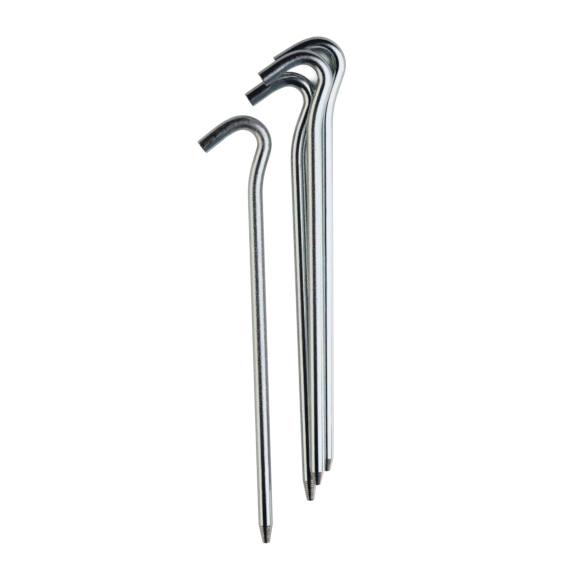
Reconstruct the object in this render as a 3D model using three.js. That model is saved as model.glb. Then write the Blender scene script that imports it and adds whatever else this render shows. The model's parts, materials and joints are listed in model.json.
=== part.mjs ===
// Four round-wire tent stakes, laid down flat: one by itself and three nested in a small bundle.
//
// A stake is one piece of zinc-plated steel wire, cut square, turned to a blunt point at one end
// and bent to an open hook at the other. Every stake is its own solid, in its own named mesh.
//
// Units are millimetres. +Z is up from the surface that the stakes lie on, +Y runs along the
// shanks towards the hooks, and the origin is in the middle of the set's footprint.

import * as THREE from 'three';

// The wire.
const WIRE_DIAMETER = 6;
const WIRE_SIDES = 24;

// The bends that all stakes share. The neck leans the wire outwards before the hook turns back
// over the shank, and the ease is the looser curve that the bender leaves before the straight arm.
const NECK_RADIUS = 39;
const EASE_RADIUS = 25;
const EASE_SWEEP = 15.4;
const BEND_STEP = 6;

// The top stake of the bundle lies across the two below it, so it is raised and rolled a little.
const TOP_STAKE_TIP_HEIGHT = 8.8;
const TOP_STAKE_ROLL = 1.7;

// Each stake was pointed and bent by hand, so its sizes differ slightly from the others'.
// tip is the middle of the point's flat end, and turn is the shank's angle from +Y. In order along
// the wire come the turned point's end diameter and length, the straight shank with the point in
// it, the neck's sweep, the neck's straight run, the hook's radius and sweep, and the straight arm
// that ends in the square cut. Lengths in mm, angles in degrees.
const STAKES = [
  {
    name: 'stake_single',
    tip: [-2.3, -103.6],
    turn: 1.6,
    pointEnd: 3.2,
    pointLength: 8.1,
    shank: 144.8,
    neckSweep: 18.1,
    neckRun: 6.2,
    hookRadius: 8.5,
    hookSweep: 129.6,
    arm: 9.2,
  },
  {
    name: 'stake_bundle_right',
    tip: [22.7, -72.5],
    turn: 0.5,
    pointEnd: 3.2,
    pointLength: 5.6,
    shank: 142.1,
    neckSweep: 19.4,
    neckRun: 7.9,
    hookRadius: 8.1,
    hookSweep: 125.1,
    arm: 9.1,
  },
  {
    name: 'stake_bundle_left',
    tip: [16.1, -85.2],
    turn: 2.2,
    pointEnd: 3.2,
    pointLength: 8.8,
    shank: 139.9,
    neckSweep: 21.5,
    neckRun: 7.0,
    hookRadius: 8.7,
    hookSweep: 128.6,
    arm: 8.4,
  },
  {
    name: 'stake_bundle_top',
    tip: [18.8, -76.7],
    turn: 0.8,
    pointEnd: 2.8,
    pointLength: 6.0,
    shank: 142.6,
    neckSweep: 18.6,
    neckRun: 6.5,
    hookRadius: 8.5,
    hookSweep: 127.1,
    arm: 8.9,
    height: TOP_STAKE_TIP_HEIGHT,
    roll: TOP_STAKE_ROLL,
  },
];

const WIRE_RADIUS = WIRE_DIAMETER / 2;

// Walks along the wire's middle line in the stake's own plane, from the point's flat end at the
// origin, with the shank along +Y. Each station is where one ring of vertices goes.
function wireStations(stake) {
  const stations = [];
  let place = new THREE.Vector2(0, 0);
  let heading = Math.PI / 2;

  const addStation = (radius) => {
    stations.push({ place: place.clone(), heading, radius });
  };
  const goStraight = (length) => {
    place.x += length * Math.cos(heading);
    place.y += length * Math.sin(heading);
  };
  const bend = (radius, sweepDegrees) => {
    const steps = Math.ceil(Math.abs(sweepDegrees) / BEND_STEP);
    const turn = THREE.MathUtils.degToRad(sweepDegrees) / steps;
    const chord = 2 * radius * Math.sin(Math.abs(turn) / 2);
    for (let step = 0; step < steps; step += 1) {
      heading += turn / 2;
      goStraight(chord);
      heading += turn / 2;
      addStation(WIRE_RADIUS);
    }
  };

  addStation(stake.pointEnd / 2);
  goStraight(stake.pointLength);
  addStation(WIRE_RADIUS);
  goStraight(stake.shank - stake.pointLength);
  addStation(WIRE_RADIUS);
  bend(NECK_RADIUS, -stake.neckSweep);
  goStraight(stake.neckRun);
  addStation(WIRE_RADIUS);
  bend(stake.hookRadius, stake.hookSweep);
  bend(EASE_RADIUS, EASE_SWEEP);
  goStraight(stake.arm);
  addStation(WIRE_RADIUS);
  return stations;
}

// Lofts a closed solid through the stations. The section's flats lie on the true wire surface,
// and one of them faces straight down, so the stake rests on a flat.
function wireGeometry(stations) {
  const sideStep = (2 * Math.PI) / WIRE_SIDES;
  const cornerScale = 1 / Math.cos(sideStep / 2);
  const positions = [];
  const triangles = [];

  for (const { place, heading, radius } of stations) {
    for (let side = 0; side < WIRE_SIDES; side += 1) {
      const angle = (side + 0.5) * sideStep;
      const across = radius * cornerScale * Math.cos(angle);
      const height = radius * cornerScale * Math.sin(angle);
      positions.push(place.x + across * Math.sin(heading));
      positions.push(place.y - across * Math.cos(heading));
      positions.push(height);
    }
  }

  for (let ring = 1; ring < stations.length; ring += 1) {
    const near = (ring - 1) * WIRE_SIDES;
    const far = ring * WIRE_SIDES;
    for (let side = 0; side < WIRE_SIDES; side += 1) {
      const next = (side + 1) % WIRE_SIDES;
      triangles.push(near + side, far + next, near + next);
      triangles.push(near + side, far + side, far + next);
    }
  }

  const lastRing = (stations.length - 1) * WIRE_SIDES;
  for (let side = 1; side < WIRE_SIDES - 1; side += 1) {
    triangles.push(0, side, side + 1);
    triangles.push(lastRing, lastRing + side + 1, lastRing + side);
  }

  const geometry = new THREE.BufferGeometry();
  geometry.setAttribute('position', new THREE.Float32BufferAttribute(positions, 3));
  geometry.setIndex(triangles);
  geometry.computeVertexNormals();
  return geometry;
}

function makeStake(stake) {
  const zincPlate = new THREE.MeshStandardMaterial({
    color: 0xbfc4cc,
    roughness: 0.25,
    metalness: 1,
  });
  const mesh = new THREE.Mesh(wireGeometry(wireStations(stake)), zincPlate);
  const roll = THREE.MathUtils.degToRad(stake.roll ?? 0);
  const turn = THREE.MathUtils.degToRad(stake.turn);
  mesh.name = stake.name;
  mesh.position.set(stake.tip[0], stake.tip[1], stake.height ?? WIRE_RADIUS);
  mesh.rotation.set(0, roll, turn);
  return mesh;
}

const group = new THREE.Group();
for (const stake of STAKES) {
  group.add(makeStake(stake));
}

// Puts the origin in the middle of the footprint, on the surface.
const footprint = new THREE.Box3().setFromObject(group, true);
const middle = footprint.getCenter(new THREE.Vector3());
group.position.set(-middle.x, -middle.y, -footprint.min.z);

export default group;
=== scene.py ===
"""Looks for a set of hooked wire tent stakes in bright zinc plate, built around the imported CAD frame.

Each stake is one piece of wire: a turned point, a long shank, a neck that leans out, a hook and a
straight arm with a sheared end. Lengths are in metres unless a comment says mm.
"""

import json
import math

import bpy
from mathutils import Euler, Matrix, Vector, noise


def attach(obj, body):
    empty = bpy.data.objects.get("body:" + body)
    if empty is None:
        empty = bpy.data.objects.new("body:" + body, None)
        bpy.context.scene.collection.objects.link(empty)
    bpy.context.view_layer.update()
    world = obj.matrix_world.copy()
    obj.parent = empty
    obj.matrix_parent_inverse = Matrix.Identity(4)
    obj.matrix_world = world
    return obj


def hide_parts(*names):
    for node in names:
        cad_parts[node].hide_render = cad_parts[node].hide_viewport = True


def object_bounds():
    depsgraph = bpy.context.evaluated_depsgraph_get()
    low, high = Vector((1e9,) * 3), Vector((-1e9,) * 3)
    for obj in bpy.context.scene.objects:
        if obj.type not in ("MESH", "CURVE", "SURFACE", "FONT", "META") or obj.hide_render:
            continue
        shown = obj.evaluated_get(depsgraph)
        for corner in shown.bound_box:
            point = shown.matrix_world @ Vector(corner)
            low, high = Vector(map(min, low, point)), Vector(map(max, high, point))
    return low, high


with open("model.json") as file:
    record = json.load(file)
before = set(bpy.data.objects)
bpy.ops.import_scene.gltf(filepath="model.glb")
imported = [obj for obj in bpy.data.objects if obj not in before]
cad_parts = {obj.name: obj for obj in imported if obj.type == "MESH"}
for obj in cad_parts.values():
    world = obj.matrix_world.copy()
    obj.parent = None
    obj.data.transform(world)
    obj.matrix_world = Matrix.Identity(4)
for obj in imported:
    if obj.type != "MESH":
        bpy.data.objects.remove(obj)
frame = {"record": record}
CAD_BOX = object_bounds()

MM = 0.001

# The wire, as in the CAD part. Lengths in mm, angles in degrees.
WIRE_RADIUS = 3.0
NECK_RADIUS = 39.0
EASE_RADIUS = 25.0
EASE_SWEEP = 15.4

# Each stake's body and the mount that says where its point is; its sizes in order along the wire,
# in mm and degrees; and how it differs in looks: seed varies the marks, mottle is how uneven its
# plating is, and scuffs is how much the bending tool marked it.
STAKES = {
    "stake_single": {
        "body": "single",
        "point": "single_point_face",
        "roll": 0.0,
        "point_end": 3.2,
        "point_length": 8.1,
        "shank": 144.8,
        "neck_sweep": 18.1,
        "neck_run": 6.2,
        "hook_radius": 8.5,
        "hook_sweep": 129.6,
        "arm": 9.2,
        "seed": 110.0,
        "mottle": 1.0,
        "scuffs": 0.8,
    },
    "stake_bundle_right": {
        "body": "bundle_right",
        "point": "bundle_right_point_face",
        "roll": 0.0,
        "point_end": 3.2,
        "point_length": 5.6,
        "shank": 142.1,
        "neck_sweep": 19.4,
        "neck_run": 7.9,
        "hook_radius": 8.1,
        "hook_sweep": 125.1,
        "arm": 9.1,
        "seed": 430.0,
        "mottle": 0.12,
        "scuffs": 0.12,
    },
    "stake_bundle_left": {
        "body": "bundle_left",
        "point": "bundle_left_point_face",
        "roll": 0.0,
        "point_end": 3.2,
        "point_length": 8.8,
        "shank": 139.9,
        "neck_sweep": 21.5,
        "neck_run": 7.0,
        "hook_radius": 8.7,
        "hook_sweep": 128.6,
        "arm": 8.4,
        "seed": 770.0,
        "mottle": 0.25,
        "scuffs": 0.15,
    },
    "stake_bundle_top": {
        "body": "bundle_top",
        "point": "bundle_top_point_face",
        "roll": 1.7,
        "point_end": 2.8,
        "point_length": 6.0,
        "shank": 142.6,
        "neck_sweep": 18.6,
        "neck_run": 6.5,
        "hook_radius": 8.5,
        "hook_sweep": 127.1,
        "arm": 8.9,
        "seed": 1130.0,
        "mottle": 0.65,
        "scuffs": 0.35,
    },
}

# How fine the mesh is: sides around the wire, and steps along it in mm. The point's fine steps
# carry on a little way into the shank.
SIDES = 80
POINT_STEP = 0.07
POINT_RUN_ON = 0.6
SHANK_STEP = 0.9
BEND_STEP = 0.3

# Shapes that making the stake leaves, in mm.
TURNING_PITCH = 0.8
TURNING_DEPTH = 0.085
END_CHAMFER = 0.12
SHEAR_ROLLOVER = 0.22
WAVINESS = 0.012

# Shares: a groove's mean depth, how far the radius falls over the shear's rollover, and how much
# narrower the wire is in the hook.
TURNING_MEAN = 0.6
SHEAR_FALL = 0.8
HOOK_FLATTENING = 0.035

# Noise cells to a mm along the wire, or to a radius around it.
TURNING_WAVER = 0.9
WAVE_ALONG = 0.16
WAVE_AROUND = 0.8

# How bent each stretch is, from 0 for straight wire to 1, and the mm over which that eases.
NECK_BENT = 0.2
HOOK_BENT = 1.0
EASE_BENT = 0.5
BENT_EASING = 2.5

# Where the finish changes along the wire, in mm. The mottled plating starts and is full this far
# from the point's end, and loses MOTTLE_FADE of itself from the start of the neck on. The rubbed
# stretch is measured from the sheared end.
MOTTLE_START = 12.0
MOTTLE_FULL = 90.0
MOTTLE_FADE = 0.9
MOTTLE_FADE_LENGTH = 25.0
POINT_EDGE = 0.1
RUBBED_LENGTH = 16.0
RUBBED_EASING = 6.0

# Colours of the plating and of what the tools left on it.
ZINC = (0.58, 0.68, 0.67, 1.0)
ZINC_LAVENDER = (0.60, 0.64, 0.705, 1.0)
ZINC_STRAW = (0.64, 0.67, 0.61, 1.0)
SCUFF_BROWN = (0.46, 0.42, 0.41, 1.0)
RUBBED_BROWN = (0.34, 0.24, 0.27, 1.0)
TURNED_GREY = (0.56, 0.55, 0.50, 1.0)
SHEARED_GREY = (0.50, 0.46, 0.40, 1.0)

# The surroundings. A shade reach is how near a stake has to be to darken the paper's glow with painted
# shade.
PAPER_WHITE = (0.985, 0.985, 0.985, 1.0)
PAPER_WARM = (1.0, 0.94, 0.90, 1.0)
# Painted shade: the dark teal that the seen paper glows in the narrow gaps of the bundle.
GAP_SHADE_TEAL = (0.03, 0.07, 0.08, 1.0)
SEEN_SHADE_REACH = 8.0 * MM
MIRRORED_SHADE_REACH = 14.0 * MM
SEEN_FLOOR_HEIGHT = -0.02 * MM
FLOOR_REACH = 3.0
BACKDROP_RADIUS = 0.97 * FLOOR_REACH
BACKDROP_FOOT = -0.01
BACKDROP_SIDES = 64
DIM_SURROUND = (0.008, 0.009, 0.015, 1.0)

# The lights. Azimuth and elevation are in degrees, seen from the middle of the stakes, and azimuth
# 0 is on their right. Along moves a light towards the hooks. The colour holds its brightness too.
SOFTBOXES = {
    "softbox_right": {
        "azimuth": 0.0,
        "elevation": 40.0,
        "distance": 0.8,
        "along": 0.10,
        "width": 1.16,
        "height": 1.40,
        "colour": (1.38, 1.27, 1.35),
    },
    "softbox_left": {
        "azimuth": 180.0,
        "elevation": 23.0,
        "distance": 0.8,
        "along": 0.0,
        "width": 1.4,
        "height": 0.70,
        "colour": (1.22, 1.09, 0.96),
    },
    "fill_front": {
        "azimuth": -58.0,
        "elevation": 28.0,
        "distance": 0.9,
        "along": 0.0,
        "width": 0.7,
        "height": 0.7,
        "colour": (0.07, 0.12, 0.17),
    },
}

# Each light fades out over its edge, in layers. FEATHER is the fade's share of the light's size.
FEATHER_LAYERS = 5
FEATHER = 0.2

# The camera looks down at the stakes, tipped a little towards their points. Lens and sensor in mm,
# tilt in degrees.
CAMERA_TILT = 9.5
CAMERA_LENS = 85.0
CAMERA_SENSOR = 36.0
VIEW_WIDTH = 0.2299
VIEW_CENTRE = Vector((0.00537, 0.00499, 0.003))


def smooth_step(low, high, value):
    """0 below low, 1 above high, and a smooth ramp between."""
    t = min(max((value - low) / (high - low), 0.0), 1.0)
    return t * t * (3.0 - 2.0 * t)


def walk_wire(stake):
    """Stations along the wire's middle line: place and heading in the stake's plane, length so
    far, and how bent the wire is there."""
    stations = []
    state = {"x": 0.0, "y": 0.0, "heading": math.pi / 2, "length": 0.0}

    def add(bent):
        stations.append((state["x"], state["y"], state["heading"], state["length"], bent))

    def go(length, step, bent=0.0):
        count = max(1, round(length / step))
        for _ in range(count):
            state["x"] += length / count * math.cos(state["heading"])
            state["y"] += length / count * math.sin(state["heading"])
            state["length"] += length / count
            add(bent)

    def bend(radius, sweep, bent):
        length = radius * math.radians(abs(sweep))
        count = round(length / BEND_STEP)
        turn = math.radians(sweep) / count
        chord = 2.0 * radius * math.sin(abs(turn) / 2.0)
        for _ in range(count):
            state["heading"] += turn / 2.0
            state["x"] += chord * math.cos(state["heading"])
            state["y"] += chord * math.sin(state["heading"])
            state["heading"] += turn / 2.0
            state["length"] += length / count
            add(bent)

    add(0.0)
    go(END_CHAMFER, END_CHAMFER)
    go(stake["point_length"] - END_CHAMFER + POINT_RUN_ON, POINT_STEP)
    go(stake["shank"] - stake["point_length"] - POINT_RUN_ON, SHANK_STEP)
    bend(NECK_RADIUS, -stake["neck_sweep"], NECK_BENT)
    go(stake["neck_run"], BEND_STEP, NECK_BENT)
    bend(stake["hook_radius"], stake["hook_sweep"], HOOK_BENT)
    bend(EASE_RADIUS, EASE_SWEEP, EASE_BENT)
    go(stake["arm"] - SHEAR_ROLLOVER, BEND_STEP)
    go(SHEAR_ROLLOVER, SHEAR_ROLLOVER / 4.0)
    return stations


def eased_bends(stations):
    """How bent the wire is at each station, averaged over a few millimetres."""
    eased = []
    for _, _, _, length, _ in stations:
        near = [s[4] for s in stations if abs(s[3] - length) < BENT_EASING]
        eased.append(sum(near) / len(near))
    return eased


def point_radius(stake, length):
    """The radius on the turned point: a cone with uneven tool rings and a chamfered end."""
    start = stake["point_end"] / 2.0
    cone = start + (WIRE_RADIUS - start) * length / stake["point_length"]
    groove = 0.5 - 0.5 * math.cos(2.0 * math.pi * length / TURNING_PITCH)
    waver = noise.noise(Vector((length * TURNING_WAVER, stake["seed"], 0.0)))
    uneven = TURNING_MEAN + (1.0 - TURNING_MEAN) * waver
    chamfer = END_CHAMFER * (1.0 - smooth_step(0.0, END_CHAMFER, length))
    return cone - TURNING_DEPTH * groove * uneven - chamfer


def section_radius(stake, length, total, angle):
    """The wire's radius at a length along it and an angle around it."""
    if length < stake["point_length"]:
        return point_radius(stake, length)
    across = math.cos(angle) * WAVE_AROUND
    up = math.sin(angle) * WAVE_AROUND
    wave = noise.noise(Vector((across, up, length * WAVE_ALONG + stake["seed"])))
    left = total - length
    rollover = 0.0
    if left < SHEAR_ROLLOVER:
        fall = 1.0 - left / SHEAR_ROLLOVER
        rollover = SHEAR_ROLLOVER * (1.0 - math.sqrt(max(0.0, 1.0 - fall * fall))) * SHEAR_FALL
    return WIRE_RADIUS - WAVINESS * (1.0 - wave) * 0.5 - rollover


def finish_marks(stake, length, total, bent):
    """How strong each mark of the finish is at a length along the wire, from 0 to 1."""
    mottle = stake["mottle"] * smooth_step(MOTTLE_START, MOTTLE_FULL, length)
    mottle *= 1.0 - MOTTLE_FADE * smooth_step(0.0, MOTTLE_FADE_LENGTH, length - stake["shank"])
    rubbed_from = total - RUBBED_LENGTH
    rubbed = smooth_step(rubbed_from - RUBBED_EASING, rubbed_from, length)
    return {
        "bent": bent * stake["scuffs"],
        "mottle": mottle,
        "turned": 1.0 - smooth_step(-POINT_EDGE, POINT_EDGE, length - stake["point_length"]),
        "sheared": 1.0 - smooth_step(0.0, SHEAR_ROLLOVER, total - length),
        "rubbed": stake["scuffs"] * rubbed,
    }


def tube_faces(rings):
    """Faces between rings of vertices, then the two flat ends."""
    faces = []
    for ring in range(1, rings):
        near = (ring - 1) * SIDES
        far = ring * SIDES
        for side in range(SIDES):
            after = (side + 1) % SIDES
            faces.append((near + side, near + after, far + after, far + side))
    last = (rings - 1) * SIDES
    faces.append(tuple(reversed(range(SIDES))))
    faces.append(tuple(range(last, last + SIDES)))
    return faces


def wire_mesh(name, stake):
    """A closed mesh of the wire in the stake's own plane. For the material, its attributes keep
    where each vertex is around and along the wire, in mm, and the marks of the finish there."""
    stations = walk_wire(stake)
    total = stations[-1][3]
    verts = []
    unrolled = []
    marks = {}
    for (x, y, heading, length, _), bent in zip(stations, eased_bends(stations)):
        for mark, value in finish_marks(stake, length, total, bent).items():
            marks.setdefault(mark, []).extend([value] * SIDES)
        for side in range(SIDES):
            angle = 2.0 * math.pi * (side + 0.5) / SIDES - math.pi / 2.0
            radius = section_radius(stake, length, total, angle)
            across = radius * math.cos(angle) * (1.0 - HOOK_FLATTENING * bent)
            height = radius * math.sin(angle)
            verts.append((x + across * math.sin(heading), y - across * math.cos(heading), height))
            unrolled += [math.cos(angle) * WIRE_RADIUS, math.sin(angle) * WIRE_RADIUS]
            unrolled += [length + stake["seed"]]
    faces = tube_faces(len(stations))

    mesh = bpy.data.meshes.new(name)
    mesh.from_pydata([Vector(v) * MM for v in verts], [], faces)
    place = mesh.attributes.new("along_wire", "FLOAT_VECTOR", "POINT")
    place.data.foreach_set("vector", unrolled)
    for mark, values in marks.items():
        mesh.attributes.new(mark, "FLOAT", "POINT").data.foreach_set("value", values)
    smooth = [True] * (len(faces) - 2) + [False, False]
    mesh.polygons.foreach_set("use_smooth", smooth)
    mesh.update()
    return mesh


def mount(name):
    """A mount's point and outward direction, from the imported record."""
    for entry in frame["record"]["mounts"]:
        if entry["name"] == name:
            return Vector(entry["pos_m"]), Vector(entry["axis"])
    raise ValueError(f"no mount named {name}")


def place_stake(mesh, stake):
    """Turns the mesh so that its point is at the mount, facing the mount's way."""
    point, outward = mount(stake["point"])
    roll = Matrix.Rotation(math.radians(stake["roll"]), 4, "Y")
    shank = roll.inverted() @ -outward
    turn = math.atan2(-shank.x, shank.y)
    mesh.transform(Matrix.Translation(point) @ roll @ Matrix.Rotation(turn, 4, "Z"))


class Graph:
    """A material's node tree, with short ways to add and join nodes. Any input can be given as a
    plain value or as another node's output."""

    def __init__(self, name):
        self.material = bpy.data.materials.new(name)
        self.material.use_nodes = True
        self.tree = self.material.node_tree
        self.tree.nodes.clear()

    def node(self, kind, inputs, **settings):
        node = self.tree.nodes.new(kind)
        for key, value in settings.items():
            setattr(node, key, value)
        for key, value in inputs.items():
            if isinstance(value, bpy.types.NodeSocket):
                self.tree.links.new(value, node.inputs[key])
            else:
                node.inputs[key].default_value = value
        return node

    def attribute(self, name, output="Fac"):
        return self.node("ShaderNodeAttribute", {}, attribute_name=name).outputs[output]

    def math(self, operation, first, second):
        return self.node("ShaderNodeMath", {0: first, 1: second}, operation=operation).outputs[0]

    def product(self, first, *others):
        for other in others:
            first = self.math("MULTIPLY", first, other)
        return first

    def total(self, first, *others):
        for other in others:
            first = self.math("ADD", first, other)
        return first

    def split(self, vector):
        """The X, Y and Z outputs of a vector."""
        return self.node("ShaderNodeSeparateXYZ", {"Vector": vector}).outputs

    def position(self):
        """The X, Y and Z outputs of the place in the shared frame."""
        return self.split(self.node("ShaderNodeNewGeometry", {}).outputs["Position"])

    def openness(self, reach):
        """1 where nothing is within reach, and less where something is near overhead."""
        return self.node("ShaderNodeAmbientOcclusion", {"Distance": reach}).outputs["AO"]

    def stretch(self, place, around, along):
        """Scales a place on the wire around it and along it."""
        scale = (around, around, along)
        node = self.node("ShaderNodeVectorMath", {0: place, 1: scale}, operation="MULTIPLY")
        return node.outputs[0]

    def noise(self, place, detail=2.0, roughness=0.5):
        inputs = {"Vector": place, "Scale": 1.0, "Detail": detail, "Roughness": roughness}
        return self.node("ShaderNodeTexNoise", inputs).outputs["Fac"]

    def ramp(self, value, low, high, start=0.0, end=1.0):
        """Start below low, end above high, and a smooth change between."""
        inputs = {"Value": value, "From Min": low, "From Max": high, "To Min": start, "To Max": end}
        node = self.node("ShaderNodeMapRange", inputs, interpolation_type="SMOOTHSTEP")
        return node.outputs["Result"]

    def blend(self, factor, first, second):
        inputs = {"Factor": factor, 6: first, 7: second}
        return self.node("ShaderNodeMix", inputs, data_type="RGBA").outputs[2]

    def surface(self, inputs):
        shader = self.node("ShaderNodeBsdfPrincipled", inputs)
        self.node("ShaderNodeOutputMaterial", {"Surface": shader.outputs["BSDF"]})

    def paper(self, base, glow_colour, glow=1.0):
        """A surface with no shine that glows."""
        self.surface({
            "Base Color": (base, base, base, 1.0),
            "Roughness": 0.9,
            "Specular IOR Level": 0.0,
            "Emission Color": glow_colour,
            "Emission Strength": glow,
        })


def zinc_marks(graph):
    """The marks of the finish, as noises and as masks from 0 to 1. Stretch is given the noise
    cells to a mm around the wire and along it. The crest is the very top of the wire."""
    place = graph.attribute("along_wire", "Vector")
    names = ["bent", "mottle", "turned", "sheared", "rubbed"]
    marks = {name: graph.attribute(name) for name in names}

    marks["drawn"] = graph.noise(graph.stretch(place, 2.6, 0.03), 3.0, 0.6)
    marks["grain"] = graph.noise(graph.stretch(place, 2.1, 1.3), 3.0, 0.65)
    marks["patches"] = graph.noise(graph.stretch(place, 0.22, 0.06))
    marks["other_patches"] = graph.noise(graph.stretch(place, -0.30, 0.09))
    marks["tool_rings"] = graph.noise(graph.stretch(place, 0.3, 2.4))

    marks["scratches"] = graph.ramp(graph.noise(graph.stretch(place, 3.2, 0.16)), 0.60, 0.72)
    marks["specks"] = graph.ramp(graph.noise(graph.stretch(place, 2.2, 1.6)), 0.52, 0.70)
    grip = graph.ramp(graph.noise(graph.stretch(place, 2.0, 2.2), 3.0, 0.7), 0.44, 0.60)
    marks["grip"] = graph.product(marks["bent"], grip)
    rub = graph.ramp(graph.noise(graph.stretch(place, 1.6, 0.8), 3.0, 0.7), 0.42, 0.58)
    crest = graph.ramp(graph.split(place)["Y"], 2.82, 2.98)
    marks["rub_line"] = graph.math("MINIMUM", graph.product(rub, crest, marks["rubbed"], 2.0), 1.0)
    return marks


def zinc_colour(graph, marks):
    colour = graph.blend(graph.ramp(marks["patches"], 0.45, 0.65, 0.0, 0.7), ZINC, ZINC_LAVENDER)
    straw = graph.ramp(marks["other_patches"], 0.52, 0.68, 0.0, 0.7)
    colour = graph.blend(straw, colour, ZINC_STRAW)
    colour = graph.blend(graph.product(marks["grip"], 0.12), colour, SCUFF_BROWN)
    colour = graph.blend(graph.product(marks["rub_line"], 0.6), colour, RUBBED_BROWN)
    colour = graph.blend(marks["turned"], colour, TURNED_GREY)
    return graph.blend(marks["sheared"], colour, SHEARED_GREY)


def zinc_roughness(graph, marks):
    return graph.total(
        graph.ramp(marks["patches"], 0.35, 0.70, 0.09, 0.13),
        graph.product(marks["scratches"], 0.05),
        graph.product(marks["mottle"], 0.08),
        graph.product(marks["specks"], marks["mottle"], 0.22),
        graph.product(marks["grip"], 0.14),
        graph.product(marks["rub_line"], 0.26),
        graph.product(marks["turned"], 0.05),
        graph.product(marks["sheared"], 0.25),
    )


def zinc_height(graph, marks):
    """The relief of the finish, in mm."""
    return graph.total(
        graph.product(marks["drawn"], 0.010),
        graph.product(marks["scratches"], -0.004),
        graph.product(marks["grain"], marks["mottle"], 0.040),
        graph.product(marks["grip"], -0.026),
        graph.product(marks["tool_rings"], marks["turned"], 0.05),
        graph.product(marks["grain"], marks["sheared"], 0.10),
    )


def zinc_plate():
    """Bright zinc on drawn wire: fine lines along the wire, cloudy plating in soft tinted patches,
    scuffs in the bends, a rubbed line along the arm, rings on the turned point and a rough sheared
    end. Cloudy plating is part haze, so it is a little less metallic."""
    graph = Graph("zinc_plate")
    marks = zinc_marks(graph)
    height = zinc_height(graph, marks)
    bump = graph.node("ShaderNodeBump", {"Height": height, "Strength": 1.0, "Distance": MM})
    graph.surface({
        "Base Color": zinc_colour(graph, marks),
        "Metallic": graph.math("SUBTRACT", 1.0, graph.product(marks["mottle"], 0.14)),
        "Roughness": zinc_roughness(graph, marks),
        "Normal": bump.outputs["Normal"],
    })
    return graph.material


def seen_floor():
    """Paper that glows white, with painted shade: it glows dark teal only in the narrow gaps on the
    right of the bundle, where stakes are close overhead.
    """
    graph = Graph("paper")
    # Painted shade: where stakes close in overhead, the glow turns dark teal, but only right of x 11 to
    # 16 mm.
    open_floor = graph.ramp(graph.openness(SEEN_SHADE_REACH), 0.37, 0.48)
    left_part = graph.ramp(graph.position()["X"], 0.011, 0.016, 1.0, 0.0)
    light = graph.math("MAXIMUM", open_floor, left_part)
    graph.paper(0.2, graph.blend(light, GAP_SHADE_TEAL, PAPER_WHITE))
    return graph.material


def mirrored_floor():
    """Paper as the metal mirrors it: glowing, with painted shade close under the stakes, and painted
    light that is brighter on the side of the stronger softbox and dimmer towards the hooks."""
    graph = Graph("paper_mirrored")
    place = graph.position()
    # Painted light and shade: the glow falls close under the stakes, rises to the right under the
    # stronger softbox and falls towards the hooks.
    glow = graph.product(
        graph.ramp(graph.openness(MIRRORED_SHADE_REACH), 0.45, 0.95),
        graph.ramp(place["X"], 0.01, 0.035, 0.35, 1.0),
        graph.ramp(place["Y"], 0.03, 0.12, 1.0, 0.3),
    )
    graph.paper(0.6, PAPER_WARM, glow)
    return graph.material


def backdrop_paper():
    graph = Graph("backdrop")
    graph.paper(0.0, PAPER_WHITE)
    return graph.material


def make_stakes():
    zinc = zinc_plate()
    for name, stake in STAKES.items():
        mesh = wire_mesh(name + "_wire", stake)
        place_stake(mesh, stake)
        piece = bpy.data.objects.new(name + "_wire", mesh)
        bpy.context.scene.collection.objects.link(piece)
        mesh.materials.append(zinc)
        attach(piece, stake["body"])
        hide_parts(name)


def stage_piece(name, verts, faces, material):
    """An object of the surroundings, which is not part of the model."""
    mesh = bpy.data.meshes.new(name)
    mesh.from_pydata(verts, [], faces)
    mesh.materials.append(material)
    piece = bpy.data.objects.new(name, mesh)
    bpy.context.scene.collection.objects.link(piece)
    return piece


def make_floor(name, height, material):
    corners = [(-1, -1), (1, -1), (1, 1), (-1, 1)]
    verts = [(x * FLOOR_REACH, y * FLOOR_REACH, height) for x, y in corners]
    return stage_piece(name, verts, [(0, 1, 2, 3)], material)


def make_floors():
    """Two floors in almost the same place: one for the camera, and one that only the metal mirrors."""
    seen = make_floor("floor", SEEN_FLOOR_HEIGHT, seen_floor())
    seen.visible_glossy = False
    mirrored = make_floor("floor_mirrored", 0.0, mirrored_floor())
    mirrored.visible_camera = False
    mirrored.visible_diffuse = False
    mirrored.visible_shadow = False


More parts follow.
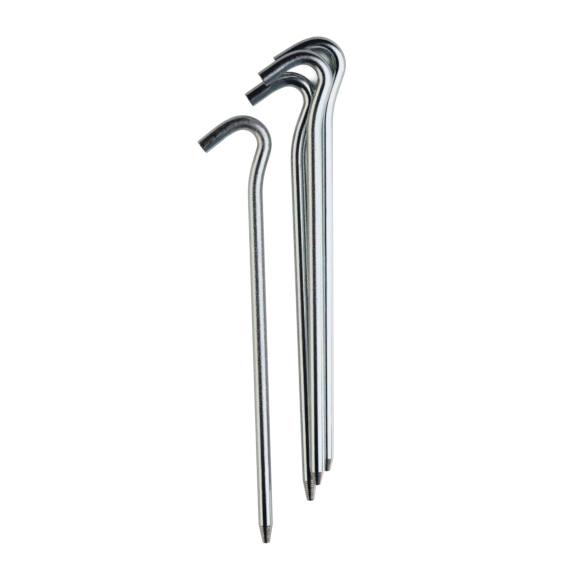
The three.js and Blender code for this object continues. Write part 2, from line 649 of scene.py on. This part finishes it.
def make_backdrop():
    """A pale round wall for views from low down. Only the camera sees it."""
    verts = []
    faces = []
    for step in range(BACKDROP_SIDES):
        around = 2.0 * math.pi * step / BACKDROP_SIDES
        x = BACKDROP_RADIUS * math.cos(around)
        y = BACKDROP_RADIUS * math.sin(around)
        verts += [(x, y, BACKDROP_FOOT), (x, y, FLOOR_REACH)]
        here = 2 * step
        after = 2 * ((step + 1) % BACKDROP_SIDES)
        faces.append((here, here + 1, after + 1, after))
    wall = stage_piece("backdrop", verts, faces, backdrop_paper())
    wall.visible_glossy = False
    wall.visible_diffuse = False
    wall.visible_shadow = False


def softbox(name, box):
    """A soft-edged area light that faces the stakes, made of layers and hidden from the camera."""
    low, high = CAD_BOX
    centre = (Vector(low) + Vector(high)) / 2.0
    around = math.radians(box["azimuth"])
    up = math.radians(box["elevation"])
    level = math.cos(up)
    direction = Vector((math.cos(around) * level, math.sin(around) * level, math.sin(up)))
    for layer in range(FEATHER_LAYERS):
        scale = 1.0 + FEATHER * (layer / (FEATHER_LAYERS - 1) - 0.5)
        light = bpy.data.lights.new(f"{name}_{layer}", "AREA")
        light.shape = "ELLIPSE"
        light.size = box["width"] * scale
        light.size_y = box["height"] * scale
        area = math.pi / 4.0 * light.size * light.size_y
        light.energy = math.pi * area / FEATHER_LAYERS
        light.color = box["colour"]
        lamp = bpy.data.objects.new(light.name, light)
        away = direction * (box["distance"] + layer * MM)
        lamp.location = centre + away + Vector((0.0, box["along"], 0.0))
        lamp.rotation_euler = direction.to_track_quat("Z", "Y").to_euler()
        lamp.visible_camera = False
        bpy.context.scene.collection.objects.link(lamp)


def make_lights():
    for name, box in SOFTBOXES.items():
        softbox(name, box)
    world = bpy.data.worlds.new("studio")
    world.use_nodes = True
    world.node_tree.nodes["Background"].inputs["Color"].default_value = DIM_SURROUND
    world.node_tree.nodes["Background"].inputs["Strength"].default_value = 1.0
    bpy.context.scene.world = world


def make_camera():
    tilt = math.radians(CAMERA_TILT)
    camera = bpy.data.cameras.new("camera")
    camera.lens = CAMERA_LENS
    camera.sensor_width = CAMERA_SENSOR
    camera.clip_start = 0.01
    eye = bpy.data.objects.new("camera", camera)
    distance = VIEW_WIDTH * CAMERA_LENS / CAMERA_SENSOR
    eye.location = VIEW_CENTRE + Vector((0.0, math.sin(tilt), math.cos(tilt))) * distance
    eye.rotation_euler = Euler((-tilt, 0.0, 0.0))
    bpy.context.scene.collection.objects.link(eye)
    bpy.context.scene.camera = eye
    bpy.context.scene.view_settings.view_transform = "Standard"


make_stakes()
make_floors()
make_backdrop()
make_lights()
make_camera()
